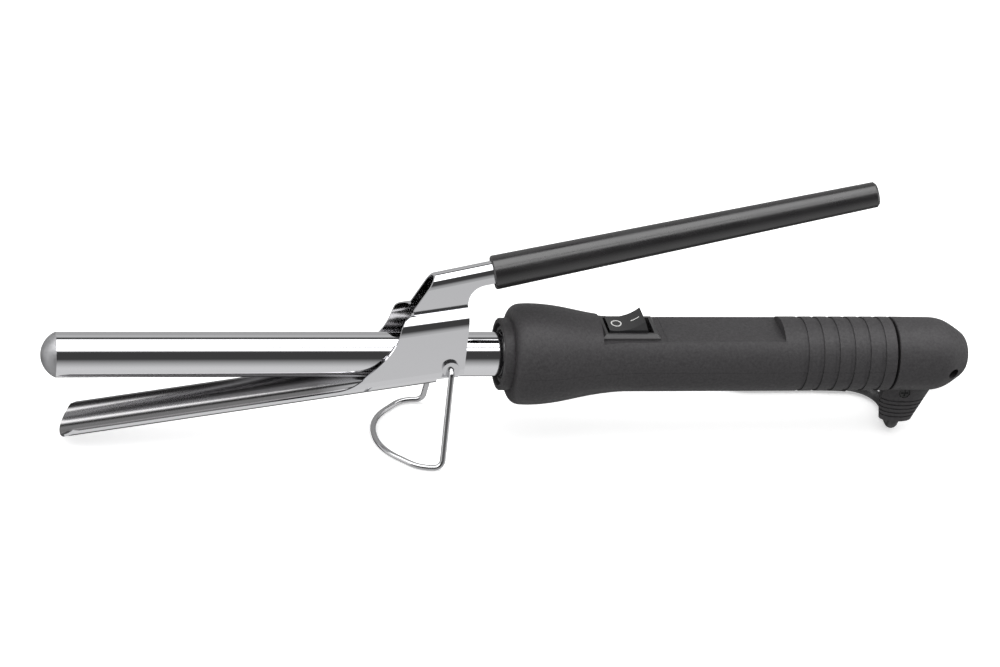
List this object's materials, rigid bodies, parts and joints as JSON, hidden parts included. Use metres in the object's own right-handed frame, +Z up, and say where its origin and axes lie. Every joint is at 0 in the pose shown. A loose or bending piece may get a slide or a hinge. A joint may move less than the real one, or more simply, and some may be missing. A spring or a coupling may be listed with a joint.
{
  "type": "curling iron",
  "caption": "Hair curling iron with a chrome barrel, lever clamp, folding wire stand, rocker switch and swivelling cord cap.",
  "frame": {"origin": "on the table, under the middle of the tool from the nose of the barrel to the end of the swivel cap and on its centre plane", "axes": "+X along the barrel towards the cord end, +Y to the side away from the screw holes of the cap, +Z up, through the lever"},
  "size_m": [0.3552, 0.0962, 0.1051],
  "materials": {
    "chrome": "mirror polished chrome plate",
    "tip_metal": "satin grey metal",
    "stand_wire": "bright plated wire",
    "handle_plastic": "finely textured dark grey",
    "sleeve_plastic": "semi-gloss near black",
    "switch_plastic": "satin black",
    "steel": "zinc plated",
    "heat_plastic": "heat-proof moulding",
    "ceramic": "unglazed ceramic",
    "resistance_wire": "oxidised",
    "mica": "layered sheet",
    "aluminium": "extruded",
    "brass": "bright",
    "fuse_body": "ceramic case",
    "lead_live": "brown insulation",
    "lead_neutral": "blue insulation",
    "cord_jacket": "flexible black",
    "tie": "woven strap",
    "nickel": "nickel plated"
  },
  "bodies": {
    "root": {"barrel_retainer": "steel", "barrel_tip": "tip_metal", "barrel_tube": "chrome", "cord_hank": "cord_jacket", "cord_lead": "cord_jacket", "cord_tail": "cord_jacket", "cord_tie": "tie", "handle_lower_shell": "handle_plastic", "handle_screws": "steel", "handle_upper_shell": "handle_plastic", "heat_spreader": "aluminium", "heater_core": "ceramic", "heater_winding": "resistance_wire", "insulator_bush": "heat_plastic", "lead_heater": "lead_live", "lead_neutral": "lead_neutral", "lead_supply": "lead_live", "mica_wrap": "mica", "pivot_band": "chrome", "pivot_rivets": "chrome", "plug_body": "cord_jacket", "plug_pins": "nickel", "plug_tail": "cord_jacket", "rocker_pin": "steel", "slip_rings": "brass", "switch_body": "switch_plastic", "switch_terminals": "brass", "swivel_spindle": "heat_plastic", "thermal_fuse": "fuse_body"},
    "clamp": {"clamp": "chrome", "lever_sleeve": "sleeve_plastic"},
    "stand": {"wire_stand": "stand_wire"},
    "rocker": {"switch_rocker": "switch_plastic"},
    "swivel": {"cap_near_half": "handle_plastic", "cap_far_half": "handle_plastic", "cap_screws": "steel", "cord_inner": "cord_jacket", "brush_springs": "brass"}
  },
  "joints": [
    {"name": "clamp_hinge", "type": "hinge", "parent": "root", "child": "clamp", "pos_m": [-0.0262, 0, 0.0345], "axis": [0, 1, 0], "range_deg": [-15, 9.4]},
    {"name": "stand_hinge", "type": "hinge", "parent": "root", "child": "stand", "pos_m": [-0.0262, 0, 0.0345], "axis": [0, 1, 0], "range_deg": [-88, 12]},
    {"name": "rocker_tilt", "type": "hinge", "parent": "root", "child": "rocker", "pos_m": [0.0392, 0, 0.0435], "axis": [0, 1, 0], "range_deg": [0, 32]},
    {"name": "cap_swivel", "type": "hinge", "parent": "root", "child": "swivel", "pos_m": [0.1468, 0, 0.0345], "axis": [1, 0, 0], "continuous": true}
  ]
}
